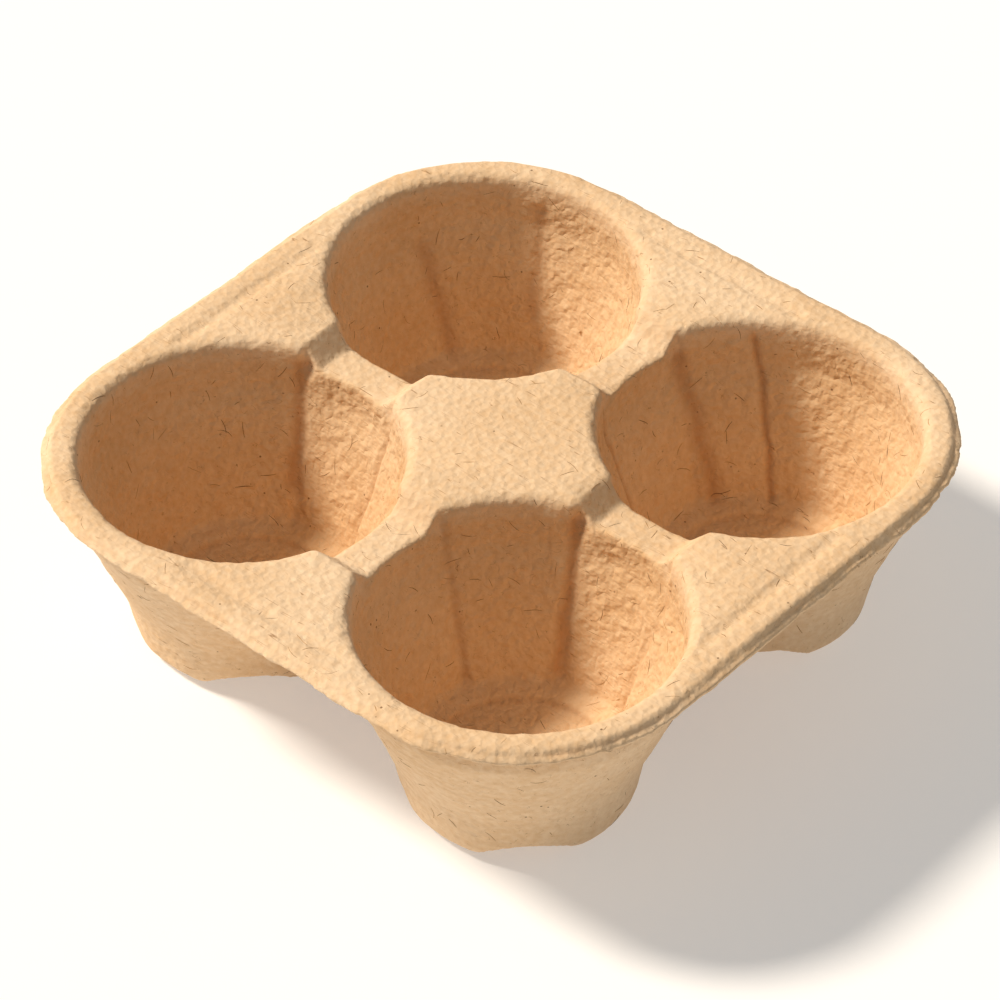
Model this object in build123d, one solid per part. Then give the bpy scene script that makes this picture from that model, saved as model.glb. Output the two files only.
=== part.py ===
from build123d import *
import os
from math import atan2, degrees, hypot, sqrt, tan, radians

# Four-cup carrier moulded from paper pulp: a rounded square tray with four tapered cup
# pockets, low webs between neighbouring pockets and a ringed, raised floor in each pocket.
# Millimetres. Origin at the centre of the resting plane, +Z up, tray sides along X and Y.

# ---- driving dimensions ----------------------------------------------------------------
tray_side = 215.0           # overall width and depth
corner_radius = 56.0        # plan radius of the tray corners
height = 64.0               # resting plane to the top of the deck
wall = 2.2                  # pulp thickness of deck, webs and pocket walls

lip_width = 2.2             # thin torn lip standing out around the rim
lip_thickness = 1.6
lip_drop = 2.0              # top of the lip below the deck
rim_round = 1.9             # rounding of the rim's upper outer edge
rim_width = 9.0             # from the rim's outer face to the groove
groove_depth = 0.7          # soft groove along each straight side
groove_half_width = 2.4
groove_length = 62.0

pocket_pitch = 102.0        # centre to centre of neighbouring pockets
mouth_radius = 45.5         # pocket wall just under the rounded mouth
mouth_round = 3.5           # rounding of the mouth
collar_depth = 15.0         # depth at which the steep collar turns into the cone
collar_taper = 1.0          # how much the collar closes in
shoulder_radius = 31.2      # where the cone meets the ringed floor
shoulder_height = 10.2      # height of that crease above the resting plane
step_radius = 25.0          # inner edge of the sloping ring ledge
step_height = 8.8
disc_radius = 23.6          # flat floor disc inside the ledge
disc_height = 7.8

flare_radius = 48.4         # outside of the pocket where it swells under the rim
flare_height = 50.0
waist_radius = 35.4         # outside of the pocket above its foot
waist_height = 18.5
foot_radius = 32.0          # outside of the foot before it is rounded
foot_round = 6.5            # rounding under the outside of each pocket
outside_blend = 40.0        # softens the bends of the outside
recess_radius = 22.0        # hollow under the floor disc
recess_taper = 1.0
arch_height = 4.6           # arches that split the foot ring into four pads
arch_half_width = 14.0
arch_tilt = 15.0            # the arches rise towards the outside, degrees

web_drop = 6.4              # web top below the deck
web_thickness = 13.6        # across the web, under its rounded edges
web_round = 3.0             # rounding of the web's two long edges
web_top_length = 36.0       # channel length at deck level
web_floor_length = 24.0     # channel length on the web
panel_foot_length = 24.0    # panel width where it runs out at the ring ledge
panel_foot_depth = 20.3     # panel distance from the tray centre line at the ledge

# ---- derived values --------------------------------------------------------------------
centre = pocket_pitch / 2
pocket_centres = [(sx * centre, sy * centre) for sx in (-1, 1) for sy in (-1, 1)]
collar_height = height - collar_depth
collar_radius = mouth_radius - collar_taper
lip_top = height - lip_drop
lip_bottom = lip_top - lip_thickness
deck_side = tray_side - 2 * lip_width
deck_corner = corner_radius - lip_width
web_height = height - web_drop
half_web = web_thickness / 2
overshoot = 6.0             # how far cutting shapes run past the part
ridge_length = 90.0


def revolved(outline):
    return revolve(outline, Axis.Z)


def pocket_outside():
    """Solid body of one pocket, from the deck down to its rounded foot."""
    outline = Sketch() + make_face(Polyline(
        (0, 0), (foot_radius, 0), (waist_radius, waist_height),
        (flare_radius, flare_height), (mouth_radius + wall, height - wall),
        (0, height - wall), (0, 0)))

    def near(x, y):
        return min(outline.vertices(), key=lambda v: abs(v.X - x) + abs(v.Y - y))

    outline = fillet(near(foot_radius, 0), foot_round)
    outline = fillet(near(waist_radius, waist_height), outside_blend)
    return revolved(Plane.XZ * outline)


def pocket_cavity():
    """Room inside one pocket: rounded mouth, collar, cone, ring ledge and floor disc."""
    start = (mouth_radius, height - mouth_round)
    end = (mouth_radius + mouth_round, height)
    k = mouth_round * (1 - sqrt(0.5))
    bend = ThreePointArc(start, (mouth_radius + k, height - k), end)
    low = Polyline((0, height + overshoot), (0, disc_height), (disc_radius, disc_height),
                   (step_radius, step_height), (shoulder_radius, shoulder_height),
                   (collar_radius, collar_height), start)
    high = Polyline(end, (mouth_radius + mouth_round, height + overshoot),
                    (0, height + overshoot))
    return revolved(Plane.XZ * make_face([low, bend, high]))


def foot_recess():
    """Hollow under the floor disc."""
    ceiling = disc_height - wall
    outline = make_face(Polyline(
        (0, -1), (recess_radius, -1), (recess_radius, 0),
        (recess_radius - recess_taper, ceiling), (0, ceiling), (0, -1)))
    return revolved(Plane.XZ * outline)


def foot_arches():
    """Four round-backed grooves under one pocket, along the tray's diagonals."""
    radius = (arch_half_width ** 2 + arch_height ** 2) / (2 * arch_height)
    length = 30.0
    bar = Pos(recess_radius - recess_taper, 0, arch_height) * Rot(0, -arch_tilt, 0) * Pos(
        length / 2, 0, -radius) * Rot(0, 90, 0) * Cylinder(radius, length)
    arches = Part()
    for turn in (45, 135, 225, 315):
        arches += Rot(0, 0, turn) * bar
    return arches


def ridge(half_thickness, web_top, edge_round, foot_depth, foot_height):
    """Long bar along X with a rounded back: the web between two pockets."""
    slope = (foot_depth - half_thickness) / (web_top - foot_height)
    bottom = foot_depth + slope * (foot_height + overshoot)
    outline = Sketch() + make_face(Polyline(
        (-bottom, -overshoot), (bottom, -overshoot), (half_thickness, web_top),
        (-half_thickness, web_top), (-bottom, -overshoot)))
    if edge_round > 0:
        outline = fillet([v for v in outline.vertices() if v.Y > web_top - 0.1], edge_round)
    return Pos(-ridge_length / 2, 0, 0) * extrude(Plane.YZ * outline, ridge_length)


def tall_ridge(half_thickness, web_top, foot_depth, foot_height):
    """The same bar carried straight up past the deck, to keep the sloped channel ends."""
    low = ridge(half_thickness, web_top, 0, foot_depth, foot_height)
    rise = height + 2 * overshoot - web_top
    return low + Pos(0, 0, web_top + rise / 2) * Box(ridge_length, 2 * half_thickness, rise)


def channel(grow):
    """Trapezoid block over the web: short on the web, longer at the deck."""
    rise = (web_top_length - web_floor_length) / 2 / web_drop
    half = web_floor_length / 2 + grow * 0.5
    low = web_height - grow
    high = height + overshoot
    far = half + rise * (high - low)
    outline = make_face(Polyline(
        (-half, low - overshoot), (half, low - overshoot), (half, low), (far, high),
        (-far, high), (-half, low), (-half, low - overshoot)))
    return Pos(0, half_web, 0) * extrude(Plane.XZ * outline, 2 * half_web)


def panel_block(grow):
    """Tapered block across both pockets: its sides are the creases beside each panel."""
    half = web_top_length / 2 + grow
    low_half = panel_foot_length / 2 + grow
    low = shoulder_height - grow
    outline = make_face(Polyline(
        (-low_half, low), (low_half, low), (half, height), (half, height + overshoot),
        (-half, height + overshoot), (-half, height), (-low_half, low)))
    reach = centre - step_radius
    return Pos(0, reach, 0) * extrude(Plane.XZ * outline, 2 * reach)


# ---- build -----------------------------------------------------------------------------
deck_outline = RectangleRounded(deck_side, deck_side, deck_corner)
rim = extrude(Pos(0, 0, lip_bottom) * deck_outline, height - lip_bottom)
rim = fillet(rim.faces().sort_by(Axis.Z)[-1].edges(), rim_round)
under_side = deck_side - 2 * wall
under = extrude(Pos(0, 0, lip_bottom - 1) * RectangleRounded(
    under_side, under_side, deck_corner - wall), height - wall - lip_bottom + 1)
lip = extrude(Pos(0, 0, lip_bottom) * RectangleRounded(
    tray_side, tray_side, corner_radius), lip_thickness)
body = (rim + lip) - under

outside = pocket_outside()
cavity = pocket_cavity()
for x, y in pocket_centres:
    body += Pos(x, y, 0) * outside

web_cut = (channel(0) - ridge(half_web, web_height, web_round, panel_foot_depth,
                              shoulder_height)) + (
    panel_block(0) - tall_ridge(half_web, web_height, panel_foot_depth, shoulder_height))
inner_half = half_web - wall
inner_foot = panel_foot_depth - wall
web_shell = (channel(wall) - ridge(inner_half, web_height - wall, 0, inner_foot,
                                   shoulder_height)) + (
    panel_block(wall) - tall_ridge(inner_half, web_height - wall, inner_foot,
                                   shoulder_height))
web_shell -= Pos(0, 0, height + overshoot) * Box(120, 120, 2 * overshoot)
web_places = [Rot(0, 0, turn) * Pos(centre, 0, 0) for turn in (0, 90, 180, 270)]
for place in web_places:
    body += place * web_shell

for x, y in pocket_centres:
    body -= Pos(x, y, 0) * cavity
for place in web_places:
    body -= place * web_cut
for x, y in pocket_centres:
    body -= Pos(x, y, 0) * (foot_recess() + foot_arches())

groove_radius = (groove_half_width ** 2 + groove_depth ** 2) / (2 * groove_depth)
groove_line = deck_side / 2 - rim_width
groove = Pos(0, groove_line, height - groove_depth + groove_radius) * (
    Rot(0, 90, 0) * Cylinder(groove_radius, groove_length - 2 * groove_half_width)
    + Pos((groove_length - 2 * groove_half_width) / 2, 0, 0) * Sphere(groove_radius)
    + Pos(-(groove_length - 2 * groove_half_width) / 2, 0, 0) * Sphere(groove_radius))
for turn in (0, 90, 180, 270):
    body -= Rot(0, 0, turn) * groove

os.makedirs("parts", exist_ok=True)
part = body.solids().sort_by(SortBy.VOLUME)[-1]
part.label = "cup_carrier"
export_step(part, "parts/cup_carrier.step")
box = part.bounding_box()
print("solids", len(body.solids()), "volume", round(part.volume, 1))
print("size", [round(v, 3) for v in (box.size.X, box.size.Y, box.size.Z)],
      "min", [round(v, 3) for v in (box.min.X, box.min.Y, box.min.Z)])
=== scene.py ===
import math
from itertools import product

import bpy
import numpy as np
from mathutils import Matrix, Vector
from mathutils.bvhtree import BVHTree


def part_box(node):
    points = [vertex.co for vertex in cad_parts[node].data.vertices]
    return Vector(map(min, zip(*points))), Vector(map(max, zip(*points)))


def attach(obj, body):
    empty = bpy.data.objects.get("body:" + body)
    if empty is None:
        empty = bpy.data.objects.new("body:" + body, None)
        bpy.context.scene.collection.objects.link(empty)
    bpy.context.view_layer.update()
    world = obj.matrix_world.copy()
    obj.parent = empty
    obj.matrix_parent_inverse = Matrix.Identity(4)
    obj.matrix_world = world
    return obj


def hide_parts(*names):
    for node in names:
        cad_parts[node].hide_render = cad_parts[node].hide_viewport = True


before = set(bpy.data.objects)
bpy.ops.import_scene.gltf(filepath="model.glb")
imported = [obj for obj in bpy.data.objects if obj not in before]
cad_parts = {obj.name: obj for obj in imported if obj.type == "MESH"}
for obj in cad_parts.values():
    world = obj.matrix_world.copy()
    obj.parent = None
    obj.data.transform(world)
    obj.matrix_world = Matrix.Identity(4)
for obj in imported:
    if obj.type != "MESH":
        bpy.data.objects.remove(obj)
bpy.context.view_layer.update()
tray_low, tray_high = (Vector(corner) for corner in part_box("cup_carrier"))
deck_z = tray_high.z
half_side = tray_high.x
scene = bpy.context.scene


def linear(hex_colour):
    """An sRGB hex colour as linear RGBA."""
    parts = [int(hex_colour[i:i + 2], 16) / 255 for i in (1, 3, 5)]
    return [p / 12.92 if p <= 0.04045 else ((p + 0.055) / 1.055) ** 2.4 for p in parts] + [1.0]


def node(tree, kind, links=(), **settings):
    """Adds a node; links are (input, socket to read) pairs, settings are values or properties."""
    made = tree.nodes.new(kind)
    for name, value in settings.items():
        if name in made.inputs:
            made.inputs[name].default_value = value
        else:
            setattr(made, name, value)
    for where, source in links:
        tree.links.new(source, made.inputs[where])
    return made


# ---- camera ----------------------------------------------------------------------------
# Long lens from the front right, looking down at the tray's deck.
camera_turn = math.radians(41.12)
camera_rise = math.radians(41.30)
camera_reach = 1.3883
camera_target = Vector((0.01599, -0.01912, deck_z - 0.002))
camera_back = Vector((math.sin(camera_turn) * math.cos(camera_rise),
                      -math.cos(camera_turn) * math.cos(camera_rise), math.sin(camera_rise)))
camera_right = Vector((math.cos(camera_turn), math.sin(camera_turn), 0.0))
camera_up = camera_back.cross(camera_right)
camera_data = bpy.data.cameras.new("view")
camera_data.sensor_width = 36.0
camera_data.lens = 181.9
camera_data.clip_end = 20.0
camera = bpy.data.objects.new("view", camera_data)
scene.collection.objects.link(camera)
camera_pose = Matrix((camera_right, camera_up, camera_back)).transposed().to_4x4()
camera_pose.translation = camera_target + camera_back * camera_reach
camera.matrix_world = camera_pose
scene.camera = camera
scene.view_settings.view_transform = "Standard"

# ---- floor, backdrop and light ---------------------------------------------------------
# A wide white floor that glows a little, an even white surround and one key light from the
# left, low enough to light the right-hand inner walls and leave the left ones in shade.
floor_mesh = bpy.data.meshes.new("floor")
floor_reach = 6.0
floor_mesh.from_pydata(
    [(x * floor_reach, y * floor_reach, 0) for x, y in ((-1, -1), (1, -1), (1, 1), (-1, 1))],
    [], [(0, 1, 2, 3)])
floor = bpy.data.objects.new("floor", floor_mesh)
scene.collection.objects.link(floor)
floor_material = bpy.data.materials.new("white floor")
floor_material.use_nodes = True
floor_shader = floor_material.node_tree.nodes["Principled BSDF"]
floor_shader.inputs["Base Color"].default_value = linear("#d9d8d6")
floor_shader.inputs["Roughness"].default_value = 0.9
floor_shader.inputs["Emission Color"].default_value = linear("#fffdfa")
floor_shader.inputs["Emission Strength"].default_value = 0.32
floor_mesh.materials.append(floor_material)

world = bpy.data.worlds.new("surround")
world.use_nodes = True
world.node_tree.nodes["Background"].inputs["Color"].default_value = linear("#fffdfa")
world.node_tree.nodes["Background"].inputs["Strength"].default_value = 0.27
scene.world = world

key_data = bpy.data.lights.new("key", "SUN")
key_data.energy = 4.1
key_data.angle = math.radians(10)
key_data.color = linear("#fff4e6")[:3]
key = bpy.data.objects.new("key", key_data)
key.rotation_euler = Vector((-0.65, -0.28, 0.70)).to_track_quat("Z", "Y").to_euler()
scene.collection.objects.link(key)


# ---- moulded pulp tray -----------------------------------------------------------------
# The whole carrier is one skin of pressed paper pulp. The CAD shape is given an even mesh and
# softened, then dented, creased and torn at the rim, and thinned to fewer triangles.
# pocket centres and corner radius in metres, the rest in mm
pocket_offset = 0.051
tray_corner = 0.056
floor_ring = 24.4
mouth_edge = 46.5
pocket_reach = 50
seam_inset = 2.5
lip_drop = 2.2
# pocket, angle at top and foot in degrees, top and foot height, depth and half width in mm
creases = [
    ((1, -1), 112, 112, 60, 12, 0.9, 2.0), ((1, -1), 158, 158, 58, 12, 0.4, 1.2),
    ((1, -1), 66, 70, 56, 11, 0.3, 1.0), ((-1, -1), 113, 112, 60, 20, 0.9, 2.2),
    ((-1, -1), 68, 68, 57, 9, 0.7, 0.9), ((1, 1), 204, 206, 58, 10, 0.7, 0.9),
    ((1, 1), 160, 150, 56, 10, 0.8, 2.6), ((1, 1), 131, 120, 60, 9, 0.9, 1.0),
    ((-1, 1), 158, 150, 45, 10, 0.7, 2.4), ((-1, 1), 110, 108, 55, 22, 0.5, 2.6)]


def lumps(points, scale, seed):
    """Smooth random field between -1 and 1; scale is the size of one lump in mm."""
    table = np.random.default_rng(seed).random(4096)
    cell = points / scale
    base = np.floor(cell).astype(np.int64)
    part = cell - base
    part = part * part * (3 - 2 * part)
    total = np.zeros(len(points))
    for corner in product((0, 1), repeat=3):
        index = base + np.array(corner)
        code = (index[:, 0] * 73856093 ^ index[:, 1] * 19349663 ^ index[:, 2] * 83492791) & 4095
        weight = np.prod(np.where(corner, part, 1 - part), axis=1)
        total += weight * table[code]
    return total * 2 - 1


def even_skin(source):
    """A closed, even and softened copy of the CAD mesh."""
    rough = bpy.data.objects.new("rough skin", source.data.copy())
    scene.collection.objects.link(rough)
    rough.matrix_world = source.matrix_world.copy()
    remesh = rough.modifiers.new("even skin", "REMESH")
    remesh.mode = "VOXEL"
    remesh.voxel_size = 0.0008
    soften = rough.modifiers.new("soft edges", "SMOOTH")
    soften.factor = 0.5
    soften.iterations = 5
    graph = bpy.context.evaluated_depsgraph_get()
    mesh = bpy.data.meshes.new_from_object(rough.evaluated_get(graph))
    mesh.transform(rough.matrix_world)
    bpy.data.objects.remove(rough)
    return mesh


def worn(mesh):
    """Dents, creases and a torn rim as new vertex places; returns the painted shade for creases,
    floor rings and the lip seam, and how far inside.
    """
    count = len(mesh.vertices)
    place = np.empty(count * 3)
    mesh.vertices.foreach_get("co", place)
    place = place.reshape(-1, 3) * 1000
    facing = np.empty(count * 3)
    mesh.vertex_normals.foreach_get("vector", facing)
    facing = facing.reshape(-1, 3)
    deck = deck_z * 1000
    half = half_side * 1000
    centre = pocket_offset * 1000
    local = np.abs(place[:, :2]) - centre
    radius = np.hypot(local[:, 0], local[:, 1])
    inward = -(facing[:, 0] * np.sign(place[:, 0]) * local[:, 0]
               + facing[:, 1] * np.sign(place[:, 1]) * local[:, 1]) / np.maximum(radius, 1)
    inner_wall = np.clip(inward * 1.6, 0, 1) * np.clip((deck - 3 - place[:, 2]) / 4, 0, 1)
    outer_wall = np.clip(-inward * 1.6, 0, 1) * np.clip((deck - 6 - place[:, 2]) / 4, 0, 1)
    dent = 0.24 * lumps(place, 17, 1) + 0.13 * lumps(place, 7, 2) + 0.05 * lumps(place, 3.1, 3)
    leather = 0.5 - np.abs(lumps(place * (1, 1, 0.8), 3.6, 4))
    dent += inner_wall * 0.85 * leather * (0.55 + 0.45 * lumps(place, 26, 5))
    dent += outer_wall * (0.10 * lumps(place, 2.4, 6) + 0.22 * lumps(place * (1, 1, 0.25), 6, 7))
    # painted shade: how much the colour is darkened in the creases, round the floor rings and in the
    # lip seam
    painted_shade = np.zeros(count)
    for (sx, sy), top_angle, foot_angle, top, foot, depth, width in creases:
        x = place[:, 0] - sx * centre
        y = place[:, 1] - sy * centre
        share = np.clip((top - place[:, 2]) / (top - foot), 0, 1)
        wobble = 1.6 * lumps(place * (0, 0, 1) + top_angle, 7, 8)
        line = top_angle + (foot_angle - top_angle) * share
        off = (np.degrees(np.arctan2(y, x)) - line + 180) % 360 - 180
        reach_mm = np.hypot(x, y)
        across = np.radians(off) * reach_mm + wobble * 0.5
        along = (np.clip((top + 2 - place[:, 2]) / 4, 0, 1)
                 * np.clip((place[:, 2] - foot + 3) / 4, 0, 1))
        cut = np.exp(-(across / width) ** 2) * along * (reach_mm < pocket_reach) * inner_wall
        dent -= depth * cut
        painted_shade = np.maximum(painted_shade, cut * min(1, depth))
    # fine step line round each raised pocket floor, its groove also darkened as painted shade
    upward = facing[:, 2] > 0.3
    ring = np.exp(-((radius - floor_ring) / 0.8) ** 2) * upward * (place[:, 2] < 13)
    dent -= 0.55 * ring
    painted_shade = np.maximum(painted_shade, 0.45 * ring)
    # how far inside a pocket: sets the painted shade tint of the pocket colour and the strength of
    # the wrinkle bump
    inside = (np.clip(inner_wall + upward, 0, 1) * (radius < 46)
              * np.clip((deck - 2 - place[:, 2]) / 6, 0, 1))
    place += facing * dent[:, None]
    # torn lip: distance to the tray's outline, negative inside
    corner = tray_corner * 1000
    q = np.abs(place[:, :2]) - (half - corner)
    outward = np.maximum(q, 0)
    length = np.hypot(outward[:, 0], outward[:, 1])
    edge = length + np.minimum(q.max(axis=1), 0) - corner
    direction = np.where(length[:, None] > 1e-6, outward / np.maximum(length, 1e-6)[:, None],
                         (q == q.max(axis=1)[:, None]).astype(float))
    direction = direction * np.sign(place[:, :2])
    flat = place * (1, 1, 0)
    near = np.clip((edge + 3.0) / 2.2, 0, 1) * np.clip((deck + 0.4 - place[:, 2]) / 1.5, 0, 1)
    tear = 0.35 + 0.45 * lumps(flat, 9, 9) + 0.45 * np.maximum(lumps(flat, 2.2, 10), 0)
    place[:, :2] -= direction * (near * np.maximum(tear, 0))[:, None]
    place[:, 2] += near * (0.35 * lumps(flat, 12, 11) + 0.25 * lumps(flat, 3.5, 12))
    # open seam between the rolled rim and the thin lip, sunk a little and darkened as painted shade
    gap = np.exp(-((edge + seam_inset) / 0.6) ** 2) * np.exp(-(deck - lip_drop - place[:, 2]) ** 2)
    gap *= np.clip(0.6 + 1.2 * lumps(flat, 14, 14), 0, 1)
    place[:, 2] -= 0.45 * gap
    painted_shade = np.maximum(painted_shade, gap)
    # mouth edges: slightly torn
    mouth = np.exp(-((radius - mouth_edge) / 2.0) ** 2) * np.clip((place[:, 2] - deck + 4) / 2, 0, 1)
    place[:, 2] += mouth * 0.25 * lumps(flat, 2.0, 13)
    low = np.array(tray_low) * 1000 + 0.02
    high = np.array(tray_high) * 1000 - 0.08
    place = np.clip(place, low, high)
    mesh.vertices.foreach_set("co", (place / 1000).ravel())
    return painted_shade, inside


def pulp_material():
    material = bpy.data.materials.new("kraft pulp")
    material.use_nodes = True
    tree = material.node_tree
    shader = tree.nodes["Principled BSDF"]
    where = tree.nodes.new("ShaderNodeTexCoord").outputs["Object"]
    mm = node(tree, "ShaderNodeMapping", [("Vector", where)], Scale=(1000, 1000, 1000))
    point = mm.outputs["Vector"]

    def grain(size, detail, source=point):
        return node(tree, "ShaderNodeTexNoise", [("Vector", source)], Scale=1 / size,
                    Detail=detail)

    def stretched(turn, long):
        return node(tree, "ShaderNodeMapping", [("Vector", point)],
                    Rotation=turn, Scale=(1 / long, 1, 1)).outputs["Vector"]

    def ramp(source, low, high, first=(0, 0, 0, 1), last=(1, 1, 1, 1)):
        made = node(tree, "ShaderNodeValToRGB", [("Fac", source)])
        made.color_ramp.elements[0].position = low
        made.color_ramp.elements[1].position = high
        made.color_ramp.elements[0].color = first
        made.color_ramp.elements[1].color = last
        return made.outputs["Color"]

    def mix(amount, first, second, blend="MIX"):
        made = node(tree, "ShaderNodeMix", data_type="RGBA", blend_type=blend)
        for number, value in ((0, amount), (6, first), (7, second)):
            if isinstance(value, (float, int, list, tuple)):
                made.inputs[number].default_value = value
            else:
                tree.links.new(value, made.inputs[number])
        return made.outputs[2]

    def times(first, second, operation="MULTIPLY"):
        made = node(tree, "ShaderNodeMath", operation=operation)
        for number, value in enumerate((first, second)):
            if isinstance(value, (float, int)):
                made.inputs[number].default_value = value
            else:
                tree.links.new(value, made.inputs[number])
        return made.outputs[0]

    broad = ramp(grain(38, 1).outputs["Fac"], 0.35, 0.68,
                 linear("#dfba8e"), linear("#ebcda8"))
    mottled = mix(0.35, broad, ramp(grain(2.2, 3).outputs["Fac"], 0.3, 0.7,
                                    linear("#d8b184"), linear("#f2d9b8")))
    pocket = node(tree, "ShaderNodeAttribute", attribute_name="inside").outputs["Fac"]
    # painted shade: pocket insides multiplied by a warmer, darker tone for the bounced light and
    # shade inside them
    mottled = mix(pocket, mottled, linear("#f9f3e9"), "MULTIPLY")
    # hair-thin dark fibres in three directions
    strands = []
    for turn, long in (((0.3, 0.5, 0.4), 18), ((1.2, 0.2, 1.7), 20), ((0.4, 1.3, 2.6), 16)):
        line = grain(1.5, 0, stretched(turn, long)).outputs["Fac"]
        thin = ramp(times(times(line, 0.5, "SUBTRACT"), 0, "ABSOLUTE"), 0.0, 0.012,
                    (1, 1, 1, 1), (0, 0, 0, 1))
        patch = ramp(grain(2.6, 1, stretched(turn, 2.6)).outputs["Fac"], 0.62, 0.67)
        strands.append(times(thin, patch))
    fibre = times(times(strands[0], strands[1], "MAXIMUM"), strands[2], "MAXIMUM")
    fleck = node(tree, "ShaderNodeTexVoronoi", [("Vector", point)], Scale=1 / 5.5, Randomness=1.0)
    speck = times(ramp(fleck.outputs["Distance"], 0.045, 0.075, (1, 1, 1, 1), (0, 0, 0, 1)),
                  ramp(grain(9, 1).outputs["Fac"], 0.5, 0.55))
    crease_painted_shade = node(tree, "ShaderNodeAttribute", attribute_name="crease_painted_shade").outputs["Fac"]
    colour = mix(times(fibre, 0.75), mottled, linear("#8a5a2c"))
    colour = mix(times(speck, 0.8), colour, linear("#6a4322"))
    # painted shade: creases, floor-ring grooves and the lip seam darkened in the colour
    colour = mix(times(crease_painted_shade, 0.55), colour, linear("#a86a34"))
    tree.links.new(colour, shader.inputs["Base Color"])
    shader.inputs["Roughness"].default_value = 0.88
    shader.inputs["Specular IOR Level"].default_value = 0.25

    weave = times(grain(0.9, 1, stretched((0.2, 0.3, 0.5), 3.5)).outputs["Fac"],
                  grain(0.7, 1, stretched((1.4, 0.2, 2.1), 3.0)).outputs["Fac"], "ADD")
    pebble = node(tree, "ShaderNodeTexVoronoi", [("Vector", point)], Scale=1 / 2.3)
    wrinkle = times(times(grain(4.6, 2).outputs["Fac"], 0.5, "SUBTRACT"), 0, "ABSOLUTE")
    height = times(times(weave, 0.10), times(pebble.outputs["Distance"], 0.30), "ADD")
    height = times(height, times(wrinkle, times(times(pocket, 0.9), 0.65, "ADD")), "ADD")
    height = times(height, times(grain(0.35, 2).outputs["Fac"], 0.06), "ADD")
    bump = node(tree, "ShaderNodeBump", [("Height", height)], Strength=0.9, Distance=0.001)
    tree.links.new(bump.outputs["Normal"], shader.inputs["Normal"])
    return material


tray_mesh = even_skin(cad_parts["cup_carrier"])
# the crease mark is painted shade in creases, floor rings and the lip seam; inside tints the pockets
# as painted shade and sets their wrinkle bump
for mark_name, amount in zip(("crease_painted_shade", "inside"), worn(tray_mesh)):
    mark = tray_mesh.attributes.new(mark_name, "FLOAT", "POINT")
    mark.data.foreach_set("value", amount.astype(np.float32))
dense_tray = bpy.data.objects.new("dense tray", tray_mesh)
scene.collection.objects.link(dense_tray)
thin_out = dense_tray.modifiers.new("fewer triangles", "DECIMATE")
triangle_budget = 190000
thin_out.ratio = min(1.0, triangle_budget / (2 * len(tray_mesh.polygons)))
light_mesh = bpy.data.meshes.new_from_object(
    dense_tray.evaluated_get(bpy.context.evaluated_depsgraph_get()))
bpy.data.objects.remove(dense_tray)
light_mesh.materials.clear()
light_mesh.materials.append(pulp_material())
light_mesh.polygons.foreach_set("use_smooth", [True] * len(light_mesh.polygons))
light_mesh.update()
tray = bpy.data.objects.new("pulp_tray", light_mesh)
scene.collection.objects.link(tray)
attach(tray, "root")
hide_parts("cup_carrier")


# ---- loose fibres ----------------------------------------------------------------------
# Short brown paper fibres lying half sunk in the pulp: thin closed tubes that follow the
# skin, scattered at random over the whole tray.
def fibres(count, seed):
    generator = np.random.default_rng(seed)
    surface = BVHTree.FromPolygons([v.co for v in light_mesh.vertices],
                                   [p.vertices for p in light_mesh.polygons])
    areas = np.empty(len(light_mesh.polygons))
    light_mesh.polygons.foreach_get("area", areas)
    chosen = generator.choice(len(areas), size=count, p=areas / areas.sum())
    points, faces = [], []
    sides, steps = 4, 6
    for number in chosen:
        face = light_mesh.polygons[int(number)]
        here, normal = face.center.copy(), face.normal.copy()
        radius = generator.uniform(0.00005, 0.00011)
        step = generator.uniform(0.0014, 0.0055) / steps
        ahead = normal.cross(Vector(generator.normal(size=3))).normalized()
        bend = generator.normal(0, 0.09)
        first = len(points)
        for ring in range(steps + 1):
            side = normal.cross(ahead).normalized()
            taper = radius * (0.35 + 0.65 * math.sin(math.pi * (ring + 0.5) / (steps + 1)))
            for k in range(sides):
                angle = 2 * math.pi * k / sides
                points.append(here + side * (math.cos(angle) * taper)
                              + normal * (math.sin(angle) * taper))
            ahead = (ahead + side * (bend + generator.normal(0, 0.05))).normalized()
            found = surface.find_nearest(here + ahead * step)
            here, normal = found[0], found[1]
            ahead = (ahead - normal * ahead.dot(normal)).normalized()
        for ring in range(steps):
            for k in range(sides):
                a = first + ring * sides + k
                b = first + ring * sides + (k + 1) % sides
                faces.append((a, b, b + sides, a + sides))
        faces.append(tuple(first + k for k in reversed(range(sides))))
        faces.append(tuple(first + steps * sides + k for k in range(sides)))
    mesh = bpy.data.meshes.new("loose fibres")
    inside = [tuple(min(max(p[i], tray_low[i]), tray_high[i]) for i in range(3)) for p in points]
    mesh.from_pydata(inside, [], faces)
    return mesh


fibre_material = bpy.data.materials.new("brown fibre")
fibre_material.use_nodes = True
fibre_tree = fibre_material.node_tree
fibre_shader = fibre_tree.nodes["Principled BSDF"]
fibre_where = fibre_tree.nodes.new("ShaderNodeTexCoord").outputs["Object"]
fibre_tone = node(fibre_tree, "ShaderNodeTexNoise", [("Vector", fibre_where)], Scale=110.0)
fibre_colour = node(fibre_tree, "ShaderNodeValToRGB", [("Fac", fibre_tone.outputs["Fac"])])
fibre_colour.color_ramp.elements[0].position = 0.35
fibre_colour.color_ramp.elements[0].color = linear("#5c3a1e")
fibre_colour.color_ramp.elements[1].position = 0.7
fibre_colour.color_ramp.elements[1].color = linear("#b98a52")
fibre_tree.links.new(fibre_colour.outputs["Color"], fibre_shader.inputs["Base Color"])
fibre_shader.inputs["Roughness"].default_value = 0.9
fibre_mesh = fibres(1300, 21)
fibre_mesh.materials.append(fibre_material)
loose = bpy.data.objects.new("loose_fibres", fibre_mesh)
scene.collection.objects.link(loose)
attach(loose, "root")
